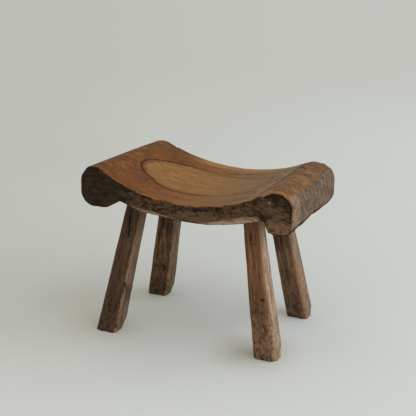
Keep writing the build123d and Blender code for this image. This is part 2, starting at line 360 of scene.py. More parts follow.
def seat_marks(points, normals):
    """What carving, wear and age did to the seat, as shares from 0 to 1 and distances in millimetres."""
    x, y, z = points.T
    marks = SimpleNamespace()
    marks.front = smooth(-normals[:, 1], 0.45, 0.85)
    marks.back = smooth(normals[:, 1], 0.45, 0.85)
    marks.up = smooth(normals[:, 2], 0.05, 0.45)
    hidden = (1 - marks.front) * (1 - marks.back) * (z < 300) * (np.abs(x - 10) < 175)
    marks.down = np.maximum(smooth(-normals[:, 2], 0.15, 0.6), smooth(-normals[:, 2], -0.3, 0.1) * hidden)
    edge = 0.72 + 0.05 * noise(points, 12, 13)
    marks.right = smooth(normals[:, 0] - edge, -0.05, 0.05) * smooth(x, 190, 200)
    marks.left = smooth(-normals[:, 0], 0.70, 0.85) * smooth(-x, 180, 195)
    marks.rim = rim_distance(points)
    marks.above_bottom = np.maximum(z - height_at(BOTTOM, x, y), 0)
    # Growth rings round a pith below the plank; the dark ring that the dish cuts through is 1
    known_x = [-145, -110, -60, -12, 46, 87, 113]
    radius = np.interp(x, known_x, [112.9, 113.7, 116.5, 110.1, 103.9, 101.9, 106.3])
    pith = np.interp(x, known_x, [-6, 1.5, -0.7, -1.7, -3.5, -4, 0])
    wobble = noise(points, 45, 11) * 1.5
    marks.ring = np.hypot(y - pith + wobble, z - PITH_HEIGHT) / radius
    # The crease where the dish stops against the right roll
    crease_x = np.interp(y, [-142, -95, 0, 114, 142], [139, 142.5, 144, 145, 146])
    marks.crease = (x - crease_x - noise(points, (30, 17, 30), 12) * 1.5) * 0.8
    # Place on the right roll's front face, by distance from its middle and by direction
    marks.reach = np.hypot(x - ROLL_X, z - ROLL_Z)
    aims = [(x - ROLL_X) / marks.reach, (z - ROLL_Z) / marks.reach]
    marks.spokes = np.column_stack([*aims, marks.reach / 150])
    return marks


def seat_cracks(points):
    """Distance to the nearest crack in the top, and to the pale scar in the right roll's front face."""
    wavy = wavered(points, (16, 12, 9), 21, 1.7)
    lines = [
        [(150, 101, 0), (160, 84, 0), (172, 62, 0), (182, 50, 0)],
        [(176, 20, 0), (196, 12, 0)],
        [(-22, 99, 0), (10, 94, 0), (48, 96, 0), (70, 101, 0), (96, 101, 0)],
        [(-205, -60, 0), (-192, -56, 0), (-178, -58, 0)],
    ]
    above = [crack_distance(wavy * [1, 1, 0], line) + 50 * (wavy[:, 2] < 290) for line in lines]
    lines = [
        [(158, 0, 327), (164, 0, 324)],
        [(170, 0, 322), (168, 0, 317)],
    ]
    ahead = [path_distance(wavy * [1, 0, 1], line) + 50 * (points[:, 1] > -136) for line in lines]
    return np.min(above, axis=0), np.min(ahead, axis=0)


def bevel_height(x):
    """Height of the pale bevel cut along the lower front edge."""
    return np.interp(x, [-132, -100, -60, 0, 25, 60, 124, 148, 160], [0, 6, 7, 3, 3, 7, 14, 10, 0])


def seat_relief(points, normals, marks, near_leg):
    """How far the seat's points lie from its smooth shape, as vectors."""
    x, y, z = points.T
    crack, scar = seat_cracks(points)
    up, front, back = marks.up, marks.front, marks.back
    rough = np.clip(front + back + marks.right + marks.left + marks.down, 0, 1)
    along = noise(np.column_stack([x, marks.ring * RING_RADIUS, y * 0.2]), (70, 2.6, 60), 31)
    out = 0.5 + 0.55 * up * fractal(points, (75, 50, 60), 32) + 0.10 * up * along
    out += rough * (1 - 0.5 * marks.right) * (0.85 * fractal(points, (24, 20, 18), 33, 4) - 0.1)
    scallop = np.abs(noise(points, (26, 16, 22), 34))
    out -= rough * (1 - 0.6 * marks.right) * 1.3 * scallop * (1 - scallop)
    out += up * (0.9 * smooth(-x, 150, 175) + 1.2 * smooth(x, 150, 175) * smooth(y, -20, 110))
    # The left roll's front end is worn rounder than the rest
    out -= 2.6 * bell(np.hypot(x + 207, z - 338), 9) * fall(y, -120, -60)
    out -= 0.8 * up * bell(marks.crease, 1.6)
    out += 1.1 * up * smooth(marks.crease, 0, 3) * fall(marks.crease, 12, 30)
    out -= 0.35 * up * bell((marks.ring - 1) * RING_RADIUS, 1.2) * smooth(-x, -120, -60)
    out -= 1.2 * bell(crack, 1.0) - 0.8 * bell(scar, 1.2)
    # Chips along the arrises, most of all round the right roll
    chip = smooth(noise(points, 9, 35) + 0.35 * smooth(x, 140, 160), 0.45, 0.75)
    out -= 1.4 * chip * fall(marks.rim, 2, 6)
    # Adze and saw marks in the cut ends
    cuts = np.abs(noise(np.column_stack([x * 0, y, z]), (1, 4.5, 34), 36))
    out -= 0.3 * (marks.right + marks.left) * fall(cuts, 0.0, 0.25)
    # The dark groove inside the right roll's front rim, and the splits that run out from its middle
    on_roll = front * smooth(x, 150, 160)
    split = np.abs(noise(marks.spokes * 24, 2.4, 38))
    splits = smooth(marks.reach, 12, 26) * fall(split, 0, 0.3)
    out -= on_roll * (0.6 * bell(marks.rim - 4.6, 1.2) + 0.25 * splits)
    # The arris between the right roll's top and its cut face, and a pit in the front beside the roll
    out += 0.5 * bell(normals[:, 2] - 0.62, 0.10) * smooth(x, 185, 200) * (1 - front) * (1 - back)
    pit = norm((points - [156, -HALF_WIDTH, 289]) / [5, 4, 4], axis=1)
    out -= 2.4 * bell(pit, 1)
    shift = normals * (out * (1 - near_leg))[:, None]
    # The bevel along the lower front edge
    band = bevel_height(x) * (1 + 0.35 * noise(points * [1, 0, 1], (11, 1, 11), 37))
    cut = (0.12 + 0.1 * smooth(x, 0, 60)) * np.maximum(band - marks.above_bottom, 0) * (1 - near_leg)
    shift[:, 1] += cut * np.clip(1 - (y + HALF_WIDTH) / 24, 0, 1)
    # The lower edge of the right end bulges here and is cut away there
    low_edge = fall(z, 266, 284) * smooth(x, 188, 206)
    known_y = [-142, -119, -95, -73, -27, 0, 19, 65, 111, 142]
    scoop = np.interp(y, known_y, [-1.5, -2.6, -0.8, -2.2, -0.8, 0.9, -1.4, -2, -2.4, 0])
    shift[:, 2] += scoop * low_edge
    shift[:, 0] -= 0.5 * scoop * low_edge
    # The back corners of the rolls are worn down, the back rim rises a little, the lower front edge sags
    shift[:, 2] -= 1.6 * up * bell(x + 176, 20) * smooth(y, 60, 130)
    shift[:, 2] += 0.9 * up * bell(x + 60, 50) * smooth(y, 90, 138)
    shift[:, 2] += up * smooth(y, 90, 138) * (1.4 * bell(x - 146, 11) - 2.2 * bell(x - 175, 9))
    sag = 3.0 * bell(x + 88, 26) + 1.2 * bell(x - 45, 55)
    low_front = fall(y, -125, -95) * fall(marks.above_bottom, 4, 16)
    shift[:, 2] -= sag * low_front * (1 - near_leg)
    return shift


def leg_axis(leg):
    """Where the axis meets the underside and the floor."""
    head = np.array([*leg["head"], underside(leg["head"][0])])
    foot = np.array([*leg["foot"], 0.0])
    return head, foot


def past_head(points, leg):
    """How far points lie past a leg's head along its axis, and how far from the axis."""
    head, foot = leg_axis(leg)
    axis = (head - foot) / norm(head - foot)
    away = points - head
    rise = away @ axis
    return rise, norm(away - rise[:, None] * axis, axis=1)


def leg_width(leg, share):
    """Width of the shaft at a share of its height."""
    return leg["widths"][1] + (leg["widths"][0] - leg["widths"][1]) * share


def hewn_radius(angle, width, cut, bevel):
    """Radius of a level section: a square with its corners cut and its arrises worn round."""
    half = width / 2
    total = np.zeros(np.shape(angle))
    for side in range(8):
        share = cut + bevel * (side == 7)
        reach = half if side % 2 == 0 else half * (2 - 2 * share) / math.sqrt(2)
        facing = np.cos(angle - side * math.pi / 4) / reach
        total = total + np.maximum(facing, 0) ** 30
    return total ** (-1 / 30)


def leg_shell(leg):
    """Vertices and faces of one leg's shaft, from its foot to its scribed shoulder, closed at both ends."""
    head, foot = leg_axis(leg)
    angle = np.linspace(0, 2 * math.pi, LEG_SIDES, endpoint=False)
    across = np.column_stack([np.cos(angle), np.sin(angle)])

    def ring(height, inset=0.0):
        share = height / head[2]
        bevel = leg["bevel"] * (1 - share)
        radius = hewn_radius(angle, leg_width(leg, share), leg["cut"], bevel) - inset
        centre = foot[:2] + (head - foot)[:2] * np.reshape(share, (-1, 1))
        places = centre + across * np.reshape(radius, (-1, 1))
        return np.column_stack([places, np.broadcast_to(height, angle.shape)])

    top = np.full(LEG_SIDES, head[2])
    for _ in range(12):
        points = ring(top)
        top = height_at(BOTTOM, points[:, 0], points[:, 1]) - SHOULDER_GAP
    chip = 2.2 + 1.5 * fractal(ring(np.zeros(LEG_SIDES)), 12, leg["seed"] + 1)
    chip = np.clip(chip, 0.8, 4.5)
    rings = []
    for turn in np.radians([0, 30, 60, 90]):
        rings.append(ring(chip * (1 - math.cos(turn)), chip * (1 - math.sin(turn))))
    for share in np.linspace(0, 1, LEG_ROWS)[1:]:
        rings.append(ring(5 + (top - 5) * share))
    centre_low = rings[0].mean(axis=0)
    inner_low = [centre_low + (rings[0] - centre_low) * scale for scale in (0.3, 0.6, 0.85)]
    inner_high = []
    for scale in (0.85, 0.6, 0.3):
        level = head + (rings[-1] - head) * scale
        level[:, 2] = height_at(BOTTOM, level[:, 0], level[:, 1]) - SHOULDER_GAP
        inner_high.append(level)
    levels = inner_low + rings + inner_high
    tip = head.copy()
    tip[2] -= SHOULDER_GAP
    vertices = np.vstack([*levels, centre_low[None], tip[None]])
    faces = band_faces(len(levels), LEG_SIDES)
    low, high = len(vertices) - 2, len(vertices) - 1
    last = (len(levels) - 1) * LEG_SIDES
    pairs = [(here, (here + 1) % LEG_SIDES) for here in range(LEG_SIDES)]
    faces += [[low, on, here] for here, on in pairs]
    faces += [[high, last + here, last + on] for here, on in pairs]
    return vertices, faces


def leg_frame(points, leg):
    """Place along the leg's axis, and offsets from it to the right and to the back on each level."""
    head, foot = leg_axis(leg)
    run = head - foot
    share = points[:, 2:] / head[2]
    off = points - (foot + run * share)
    return share[:, 0] * norm(run), off[:, 0], off[:, 1]


# Cracks and cuts on each leg: the points along each, and its half width
LEG_CRACKS = {
    "leg_front_left": [
        ([(-130, -101, 250), (-132.5, -103, 223), (-131.5, -106, 203)], 1.9),
        ([(-152, -109, 175), (-155, -113, 150)], 0.8),
        ([(-137, -117, 108), (-139, -110, 88), (-144, -109, 62)], 2.2),
        ([(-166, -121, 85), (-172, -125, 50), (-175, -129, 12)], 0.9),
    ],
    "leg_rear_left": [
        ([(-141, 63, 205), (-139, 63, 172)], 1.3),
        ([(-153, 69, 81), (-146, 69, 80), (-136, 69, 84)], 1.0),
        ([(-143, 69, 76), (-144, 70, 66)], 2.4),
        ([(-161, 67, 110), (-158, 68, 92)], 0.8),
    ],
    "leg_front_right": [
        ([(120, -98, 243), (120.7, -99, 230)], 1.7),
        ([(116, -99.7, 225), (121, -99.6, 226)], 0.5),
        ([(123, -99.7, 223), (128, -99.6, 224)], 0.5),
        ([(147, -110, 118.5), (152, -110, 119.5)], 2.5),
        ([(136, -110, 113), (142, -110, 112.5)], 0.7),
        ([(138, -112, 104), (143, -112, 103)], 0.7),
        ([(149, -113, 93), (152, -113, 92)], 0.9),
        ([(157, -117, 64), (158, -118, 50)], 0.9),
        ([(171, -122, 14), (170, -123, 5)], 3.0),
        ([(151, -122, 6), (156, -122, 4)], 2.6),
    ],
    "leg_rear_right": [
        ([(122, 67, 190), (126, 69, 160)], 1.2),
        ([(134, 71, 120), (142, 74, 95)], 1.0),
        ([(147, 78, 58), (156, 79, 52)], 1.0),
        ([(150, 79, 30), (151, 80, 18)], 1.2),
    ],
}
# Bands where bare golden wood shows between the darker fibres: their ends and half widths
LEG_STREAKS = {
    "leg_front_left": [
        ([(-114, -110, 240), (-120, -106, 200)], 3.5),
        ([(-112, -92, 236), (-116, -92, 205)], 4.0),
        ([(-126, -112, 160), (-136, -117, 112)], 4.0),
        ([(-145, -123, 60), (-154, -130, 6)], 7.0),
        ([(-110, -98, 240), (-122, -100, 190)], 5.0),
    ],
    "leg_rear_left": [
        ([(-160, 66, 160), (-162, 69, 84)], 4.0),
        ([(-148, 64, 175), (-152, 68, 96)], 4.0),
        ([(-134, 64, 175), (-140, 68, 100)], 4.0),
        ([(-120, 66, 175), (-131, 72, 84)], 4.0),
        ([(-154, 72, 50), (-158, 74, 22)], 4.0),
    ],
    "leg_front_right": [
        ([(140, -98, 220), (154, -108, 140)], 3.0),
        ([(118, -98, 225), (126, -105, 165)], 4.5),
        ([(168, -119, 80), (178, -121, 12)], 3.5),
    ],
    "leg_rear_right": [
        ([(122, 68, 180), (130, 70, 140)], 3.5),
        ([(138, 71, 150), (150, 76, 70)], 4.0),
        ([(158, 80, 130), (170, 82, 30)], 6.0),
        ([(146, 78, 50), (150, 80, 14)], 3.5),
    ],
}
# Rough dark patches: the middle of each, its reach in three directions, and its strength
LEG_PATCHES = {
    "leg_front_left": [
        ((-131, -103, 236), (7, 10, 30), 1.2),
        ((-121, -92, 150), (12, 16, 34), 0.55),
        ((-141, -100, 82), (11, 16, 24), 1.7),
        ((-150, -122, 42), (7, 8, 16), 0.5),
    ],
    "leg_rear_left": [
        ((-128, 62, 182), (16, 10, 22), 1.1),
        ((-144, 70, 72), (14, 10, 9), 0.7),
        ((-156, 73, 20), (26, 12, 22), 0.9),
    ],
    "leg_front_right": [
        ((148, -113, 98), (13, 8, 22), 0.75),
        ((154, -116, 62), (8, 8, 14), 0.6),
        ((160, -121, 6), (22, 14, 7), 0.6),
        ((178, -108, 34), (9, 16, 36), 0.45),
    ],
    "leg_rear_right": [
        ((124, 68, 180), (18, 10, 24), 0.9),
        ((140, 74, 96), (8, 8, 18), 0.6),
        ((154, 80, 34), (20, 10, 26), 0.9),
        ((172, 84, 60), (8, 18, 14), 0.4),
    ],
}


def leg_marks(points, name):
    """Place along and off the axis, distance to cracks in their half widths, and shares of marks."""
    leg = LEGS[name]
    along, right, back = leg_frame(points, leg)
    wavy = wavered(points, (7, 7, 12), leg["seed"] + 20, 0.8)
    crack = np.min([path_distance(wavy, path) / half for path, half in LEG_CRACKS[name]], axis=0)
    streak = np.max([bell(path_distance(points, path), half) for path, half in LEG_STREAKS[name]], axis=0)
    patches = []
    for middle, reach, share in LEG_PATCHES[name]:
        patches.append(share * bell(norm((points - middle) / reach, axis=1), 1))
    patch = np.max(patches, axis=0)
    return along, right, back, crack, streak, patch


def leg_relief(points, normals, name):
    """Adze facets, long checks, chips and cracks, as vectors that stay level."""
    seed = LEGS[name]["seed"]
    along, right, back, crack, _, patch = leg_marks(points, name)
    place = np.column_stack([along, right, back])
    out = 1.35 + 0.9 * fractal(place, (60, 16, 16), seed + 2, 3)
    scallop = np.abs(noise(place, (34, 13, 13), seed + 5))
    out -= 1.1 * scallop * (1 - scallop)
    checks = np.abs(noise(place, (55, 3.2, 3.2), seed + 6))
    out -= 0.55 * fall(checks, 0, 0.3)
    chip = smooth(noise(place, (8, 7, 7), seed + 7), 0.15, 0.6)
    out -= 1.1 * fall(along, 6, 22) * chip
    out -= 1.4 * bell(crack, 1) + 1.1 * patch * np.abs(noise(place, (6, 5, 5), seed + 8))
    shoulder = smooth(height_at(BOTTOM, points[:, 0], points[:, 1]) - points[:, 2], 0.5, 14)
    level = np.column_stack([normals[:, 0], normals[:, 1], np.zeros(len(normals))])
    shift = level * (out * shoulder)[:, None]
    # The back right corner is worn off at the foot
    corner = smooth((right + back) * 2 / LEGS[name]["widths"][1], 1.15, 1.65)
    shift[:, :2] -= (3.0 * corner * fall(along, 2, 22))[:, None]
    return shift


def add_object(name, data):
    made = bpy.data.objects.new(name, data)
    bpy.context.scene.collection.objects.link(made)
    return made


def mesh_object(name, vertices, faces):
    mesh = bpy.data.meshes.new(name)
    mesh.from_pydata(np.asarray(vertices, float).tolist(), [], faces)
    mesh.validate()
    return add_object(name, mesh)


def read_mesh(mesh):
    """Points and normals of a mesh's vertices."""
    points, normals = np.zeros((2, len(mesh.vertices) * 3))
    mesh.vertices.foreach_get("co", points)
    mesh.vertices.foreach_get("normal", normals)
    return points.reshape(-1, 3), normals.reshape(-1, 3)


def write_points(mesh, points):
    mesh.vertices.foreach_set("co", np.ravel(points))
    mesh.update()


def tag(mesh, tags):
    """Writes each tag's number or vector for every vertex, which the materials read."""
    for name, values in tags.items():
        kind, field = ("FLOAT", "value") if values.ndim == 1 else ("FLOAT_VECTOR", "vector")
        attribute = mesh.attributes.new(name, kind, "POINT")
        attribute.data.foreach_set(field, np.ravel(values))


def joint_solid(node, leg, name):
    """The tenon of a leg, or the hollow of its socket, closed below the shoulder."""
    bm = bmesh.new()
    bm.from_mesh(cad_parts[node].data)
    bmesh.ops.scale(bm, vec=[1 / MILLIMETRE] * 3, verts=bm.verts)
    bmesh.ops.remove_doubles(bm, verts=bm.verts, dist=0.002)
    bm.verts.index_update()
    rise, across = past_head(np.array([vertex.co for vertex in bm.verts]), leg)
    inside = (rise > TENON_LOW) & (rise < TENON_HIGH) & (across < leg["widths"][0] / 2 - TENON_INSET)
    outside = [face for face in bm.faces if not all(inside[vertex.index] for vertex in face.verts)]
    bmesh.ops.delete(bm, geom=outside, context="FACES")
    rim = [edge for edge in bm.edges if edge.is_boundary]
    made = bmesh.ops.extrude_edge_only(bm, edges=rim)["geom"]
    lowered = [item for item in made if isinstance(item, bmesh.types.BMVert)]
    for vertex in lowered:
        vertex.co.z -= 4
    rim = [edge for edge in bm.edges if edge.is_boundary]
    bmesh.ops.holes_fill(bm, edges=rim, sides=0)
    bmesh.ops.recalc_face_normals(bm, faces=bm.faces)
    mesh = bpy.data.meshes.new(name)
    bm.to_mesh(mesh)
    bm.free()
    return add_object(name, mesh)


def combine(piece, tools, operation):
    """Unites a piece with other solids, or cuts them out of it, and removes them."""
    for tool in tools:
        cut = piece.modifiers.new("joint", "BOOLEAN")
        cut.object, cut.operation, cut.solver = tool, operation, "EXACT"
    depsgraph = bpy.context.evaluated_depsgraph_get()
    made = bpy.data.meshes.new_from_object(piece.evaluated_get(depsgraph))
    piece.modifiers.clear()
    old, piece.data = piece.data, made
    bpy.data.meshes.remove(old)
    made.name = piece.name
    for tool in tools:
        bpy.data.meshes.remove(tool.data)


def near_legs(points):
    """1 close to a leg's head and inside its socket, 0 away from it."""
    near = np.zeros(len(points))
    for leg in LEGS.values():
        rise, across = past_head(points, leg)
        reach = leg["widths"][0] / 2
        here = fall(across, reach + 5, reach + 14) * (rise < TENON_HIGH + 0.5)
        near = np.maximum(near, here)
    return near


def finish_piece(piece, node, material):
    mesh = piece.data
    mesh.materials.clear()
    mesh.materials.append(material)
    mesh.transform(Matrix.Scale(MILLIMETRE, 4))
    mesh.polygons.foreach_set("use_smooth", np.ones(len(mesh.polygons), bool))
    mesh.set_sharp_from_angle(angle=math.radians(55))
    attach(piece, "root")
    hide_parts(node)


def seat_tags(points, marks):
    """What the seat's material reads at each vertex."""
    x, y, z = points.T
    crack, scar = seat_cracks(points)
    front, up, right = marks.front, marks.up, marks.right
    on_roll = front * smooth(x, 148, 160)
    # Dark lines: the cracks, the groove inside the right roll's rim, and the pit beside the roll
    groove = np.abs(marks.rim - 5.2) + 30 * (1 - on_roll * smooth(z - 0.4 * x, 196, 212))
    pit = norm((points - [157, -HALF_WIDTH, 288]) / [9, 5, 6], axis=1)
    lines = [crack - 0.4, groove * 0.8, pit * 1.2 + 20 * (1 - front)]
    # Bare wood: the two bevels and the scar
    band = bevel_height(x)
    bevel = front * fall(marks.above_bottom / np.maximum(band, 0.5), 0.7, 1.2) * smooth(band, 1, 8)
    rim_bevel = on_roll * fall(marks.rim, 2.0, 3.6) * smooth(z, 268, 280)
    bare = 0.7 - 0.7 * smooth(scar + 2.6 * noise(points, 4, 42), 0.3, 3.0)
    pale = 0.9 * bevel + 0.6 * bare + 0.5 * rim_bevel
    # Dirt: thick on the front, thickest at the left, thin on the top
    known_x = [-214, -150, -90, 0, 100, 150, 165, 214]
    soil = front * np.interp(x, known_x, [1.3, 1.25, 0.84, 0.68, 0.60, 0.85, 0.70, 0.66])
    soil += on_roll * 0.36 * smooth(z + 0.35 * (x - ROLL_X), 300, 324)
    soil -= on_roll * 0.25 * fall(z, 276, 296)
    soil += np.minimum(0.75 * marks.back + 0.8 * marks.down + 0.7 * marks.left + 0.25 * right, 0.85)
    # Grey over the right of the dish, partly dusty wood and partly a painted sheen
    grey = up * smooth(x, 55, 145) * fall(marks.crease, -1, 1.5) * 0.9
    thin = 2.5 * smooth(x, 130, 160) - 0.6 * smooth(-x, 60, 150)
    worn = fall(marks.rim - thin, 0.8, 3.2) * (1 - marks.down) * (0.38 + 0.55 * up)
    worn *= 1 + 0.35 * smooth(-x, -20, 100)
    return dict(
        grain=points * MILLIMETRE,
        ring=marks.ring,
        spokes=marks.spokes * 0.024,
        face=on_roll * smooth(marks.reach, 8, 24),
        line=np.minimum(np.min(lines, axis=0), 20),
        crease=np.clip(marks.crease, -20, 20),
        under_rim=front * bell(marks.rim - 5, 4) * smooth(z - height_at(TOP, x, y), -12, -8),
        soil=soil * (1 - 0.8 * bevel) * (1 - rim_bevel) * (1 - bare),
        grey=np.clip(grey + right + 0.6 * marks.left + 0.3 * marks.back, 0, 1),
        end=right + marks.left,
        worn=worn * (0.82 + 0.6 * noise(points, 15, 41)),
        pale=np.clip(pale + 0.6 * right * fall(y, -112, -94), 0, 1),
        roll=up * smooth(marks.crease, -0.5, 1.5),
    )


def build_seat(material):
    piece = mesh_object("carved_seat", *seat_shell())
    hollows = [joint_solid("seat", leg, "hollow_" + name) for name, leg in LEGS.items()]
    combine(piece, hollows, "DIFFERENCE")
    points, normals = read_mesh(piece.data)
    marks = seat_marks(points, normals)
    tag(piece.data, seat_tags(points, marks))
    write_points(piece.data, points + seat_relief(points, normals, marks, near_legs(points)))
    finish_piece(piece, "seat", material)


def leg_tags(points, name):
    """What a leg's material reads at each vertex."""
    leg = LEGS[name]
    along, right, back, crack, streak, patch = leg_marks(points, name)
    half = leg_width(leg, points[:, 2] / LEG_HEIGHT) / 2
    # The sides that face right are bleached
    bleached = smooth(right / half - np.abs(back) / half * 0.5, 0.30, 0.62)
    corner = np.abs(np.abs(right) - np.abs(back)) / half
    worn = fall(corner, 0.05, 0.30) * (0.30 + 0.45 * smooth(right / half, -0.2, 0.6))
    worn = np.clip(worn + 0.38 * fall(along, 0, 26), 0, 1)
    return dict(
        grain=np.column_stack([along, right + leg["seed"], back]) * MILLIMETRE,
        line=np.minimum(crack * 1.6, 20),
        streak=streak,
        patch=patch,
        pale=bleached,
        soil=0.5 * (1 - bleached) + 0.35 * fall(along, 0, 12),
        worn=worn * smooth(np.hypot(right, back) / half, 0.80, 1.0),
        low=fall(along, 60, 150),
    )


def build_leg(name, material):
    piece = mesh_object("hewn_" + name, *leg_shell(LEGS[name]))
    points, normals = read_mesh(piece.data)
    write_points(piece.data, points + leg_relief(points, normals, name))
    combine(piece, [joint_solid(name, LEGS[name], "tenon_" + name)], "UNION")
    points, _ = read_mesh(piece.data)
    tag(piece.data, leg_tags(points, name))
    finish_piece(piece, name, material)


class Graph:
    """Short calls for the nodes of a material or of the world."""

    def __init__(self, owner):
        owner.use_nodes = True
        self.owner = owner
        self.tree = owner.node_tree

    def link(self, value, socket):
        if isinstance(value, bpy.types.NodeSocket):
            self.tree.links.new(value, socket)
        elif isinstance(value, (tuple, list)) and len(socket.default_value) == 4:
            socket.default_value = (*value, 1)
        else:
            socket.default_value = value

    def node(self, kind, inputs=(), **settings):
        made = self.tree.nodes.new("ShaderNode" + kind)
        for key, value in settings.items():
            setattr(made, key, value)
        for socket, value in dict(inputs).items():
            self.link(value, made.inputs[socket])
        return made

    def math(self, operation, a, b=0, clamp=False):
        return self.node("Math", {0: a, 1: b}, operation=operation, use_clamp=clamp).outputs[0]

    def times(self, a, b):
        return self.math("MULTIPLY", a, b)

    def blend(self, *weighted):
        """Sum of values, each times its weight."""
        total = None
        for value, weight in weighted:
            part = self.times(value, weight)
            total = part if total is None else self.math("ADD", total, part)
        return total

    def shifted(self, value, *textures):
        """A value moved up and down by textures about their middle, each by its amount."""
        for texture, amount in textures:
            value = self.math("ADD", value, self.times(self.math("SUBTRACT", texture, 0.5), amount))
        return value

    def noise(self, vector, scale, detail=4, roughness=0.65):
        stretched = self.node("VectorMath", {0: vector, 1: scale}, operation="MULTIPLY").outputs[0]
        inputs = {"Vector": stretched, "Scale": 1, "Detail": detail, "Roughness": roughness}
        return self.node("TexNoise", inputs).outputs[0]

    def textures(self, vector, **kinds):
        """Keeps a noise texture under each name, from its three scales, its detail and its roughness."""
        for name, kind in kinds.items():
            setattr(self, name, self.noise(vector, kind[:3], *kind[3:]))

    def step(self, value, low, high, start=0, end=1):
        """From start to end as the value goes from low to high."""
        inputs = {"Value": value, "From Min": low, "From Max": high, "To Min": start, "To Max": end}
        return self.node("MapRange", inputs, interpolation_type="SMOOTHSTEP").outputs[0]

    def mix(self, factor, a, b, blend="MIX"):
        return self.node("Mix", {0: factor, 6: a, 7: b}, data_type="RGBA", blend_type=blend).outputs[2]

    def tint(self, base, colour, value, low, high, share=1):
        """Mixes a colour in, up to a share, where the value goes from low to high."""
        return self.mix(self.step(value, low, high, 0, share), base, colour)

    def mark(self, name, output="Fac"):
        return self.node("Attribute", attribute_name=name).outputs[output]

    def seen(self):
        """1 for what is seen straight, mirrored or through glass, and 0 for the light that it sends."""
        rays = self.node("LightPath").outputs
        straight = self.math("MAXIMUM", rays["Is Camera Ray"], rays["Is Glossy Ray"])
        return self.math("MAXIMUM", straight, rays["Is Transmission Ray"])

    def shade(self, colour, roughness, specular):
        shader = self.tree.nodes["Principled BSDF"]
        inputs = {"Base Color": colour, "Roughness": roughness, "Specular IOR Level": specular}
        for socket, value in inputs.items():
            self.link(value, shader.inputs[socket])
        return shader

    def finish(self, colour, roughness, height, depth):
        bump = self.node("Bump", {"Strength": 0.8, "Distance": depth, "Height": height}).outputs[0]
        self.link(bump, self.shade(colour, roughness, 0.06).inputs["Normal"])
        return self.owner


def seat_textures(g):
    """Keeps the seat's places and textures on its graph."""
    g.grain = g.mark("grain", "Vector")
    g.x, g.y, _ = g.node("SeparateXYZ", {0: g.grain}).outputs
    g.ring, g.soil, g.end = (g.mark(name) for name in ("ring", "soil", "end"))
    g.textures(
        g.grain,
        streak=(8, 75, 75, 5, 0.7),
        fine=(22, 240, 240, 3, 0.65),
        fibre=(30, 900, 900, 2, 0.55),
        blotch=(13, 26, 26),
        patch=(26, 40, 40),
        mottle=(110, 150, 150, 5, 0.7),
        lump=(42, 60, 80),
        strata=(30, 70, 120, 5, 0.7),
    )
    along_ring = g.node("CombineXYZ", {0: g.times(g.x, 5), 1: g.times(g.ring, 24)}).outputs[0]
    rings = g.noise(along_ring, (1, 1, 1))
    tone = g.blend((rings, 0.15), (g.streak, 0.35), (g.fine, 0.25), (g.mottle, 0.25))
    g.crisp = g.step(tone, 0.43, 0.57)
    g.layers = g.blend((g.lump, 0.5), (g.strata, 0.5))
    g.top = g.step(g.soil, 0.05, 0.3, 1, 0)


def dish_wood(g):
    """Brown wood, paler inside the dark ring, over the right half and along the back rim."""
    wood = g.mix(g.crisp, (0.111, 0.039, 0.0112), (0.2, 0.074, 0.0212))
    wood = g.tint(wood, (0.096, 0.042, 0.0155), g.blotch, 0.46, 0.66, 0.6)
    inside = g.math("SUBTRACT", 1, g.step(g.ring, 0.92, 1))
    inside = g.math("MAXIMUM", inside, g.step(g.x, -0.11, 0.06, 0, 0.85))
    behind = g.times(g.step(g.y, 0.106, 0.122), g.step(g.x, -0.12, -0.04))
    inside = g.math("MAXIMUM", inside, behind)
    tan = g.mix(g.crisp, (0.184, 0.086, 0.027), (0.308, 0.154, 0.052))
    tan = g.tint(tan, (0.228, 0.104, 0.034), g.patch, 0.5, 0.64, 0.6)
    tan = g.tint(tan, (0.205, 0.124, 0.064), g.x, -0.04, 0.08, 0.5)
    wood = g.mix(g.times(inside, 0.9), wood, tan)
    return g.mix(g.times(behind, 0.45), wood, (0.36, 0.19, 0.07))


def left_roll_wood(g, wood):
    """The left roll's top: stained in places, rubbed pale in others, and darker to the back."""
    left = g.step(g.x, -0.185, -0.125, 1, 0)
    wood = g.mix(g.times(left, g.step(g.patch, 0.5, 0.62, 0, 0.55)), wood, (0.066, 0.04, 0.02))
    wood = g.mix(g.times(left, g.step(g.patch, 0.48, 0.38, 0, 0.55)), wood, (0.23, 0.14, 0.066))
    behind = g.times(g.step(g.x, -0.16, -0.09, 0.42, 0), g.step(g.y, 0.03, 0.11))
    return g.mix(behind, wood, (0.078, 0.036, 0.0145))


def right_roll_wood(g, wood):
    """The right roll's top: soft orange and brown patches, brighter to the front."""
    bark = g.step(g.blend((g.patch, 0.35), (g.lump, 0.2), (g.mottle, 0.45)), 0.44, 0.56)
    roll = g.mix(bark, (0.1, 0.049, 0.023), (0.25, 0.119, 0.046))
    ahead = g.times(g.step(g.y, -0.138, -0.1, 0.9, 0), g.step(g.lump, 0.42, 0.58))
    roll = g.mix(ahead, roll, (0.3, 0.13, 0.047))
    roll = g.tint(roll, (0.088, 0.052, 0.03), g.y, 0.02, 0.12, 0.45)
    return g.mix(g.mark("roll"), wood, roll)


def bleached_wood(g, wood):
    """Grey wood with sawn ends, grey over the right of the dish that is partly dusty wood and partly a
    painted sheen, and the pale wood that the bevels and the scar lay bare.
    """
    grey = g.mix(g.crisp, (0.1, 0.068, 0.039), (0.304, 0.216, 0.134))
    grey = g.tint(grey, (0.06, 0.038, 0.02), g.fine, 0.58, 0.66, 0.5)
    ends = g.noise(g.grain, (60, 210, 45), 5, 0.7)
    cut = g.noise(g.grain, (60, 330, 90), 3, 0.65)
    sawn = g.step(g.blend((ends, 0.45), (cut, 0.25), (g.mottle, 0.3)), 0.42, 0.58)
    grey = g.mix(g.end, grey, g.mix(sawn, (0.062, 0.043, 0.029), (0.215, 0.15, 0.102)))
    # The grey mark also lays a painted sheen of grey over the right of the dish
    wood = g.mix(g.mark("grey"), wood, grey)
    pale = g.mix(g.step(g.layers, 0.42, 0.58), (0.15, 0.1, 0.062), (0.44, 0.3, 0.195))
    return g.mix(g.mark("pale"), wood, pale)


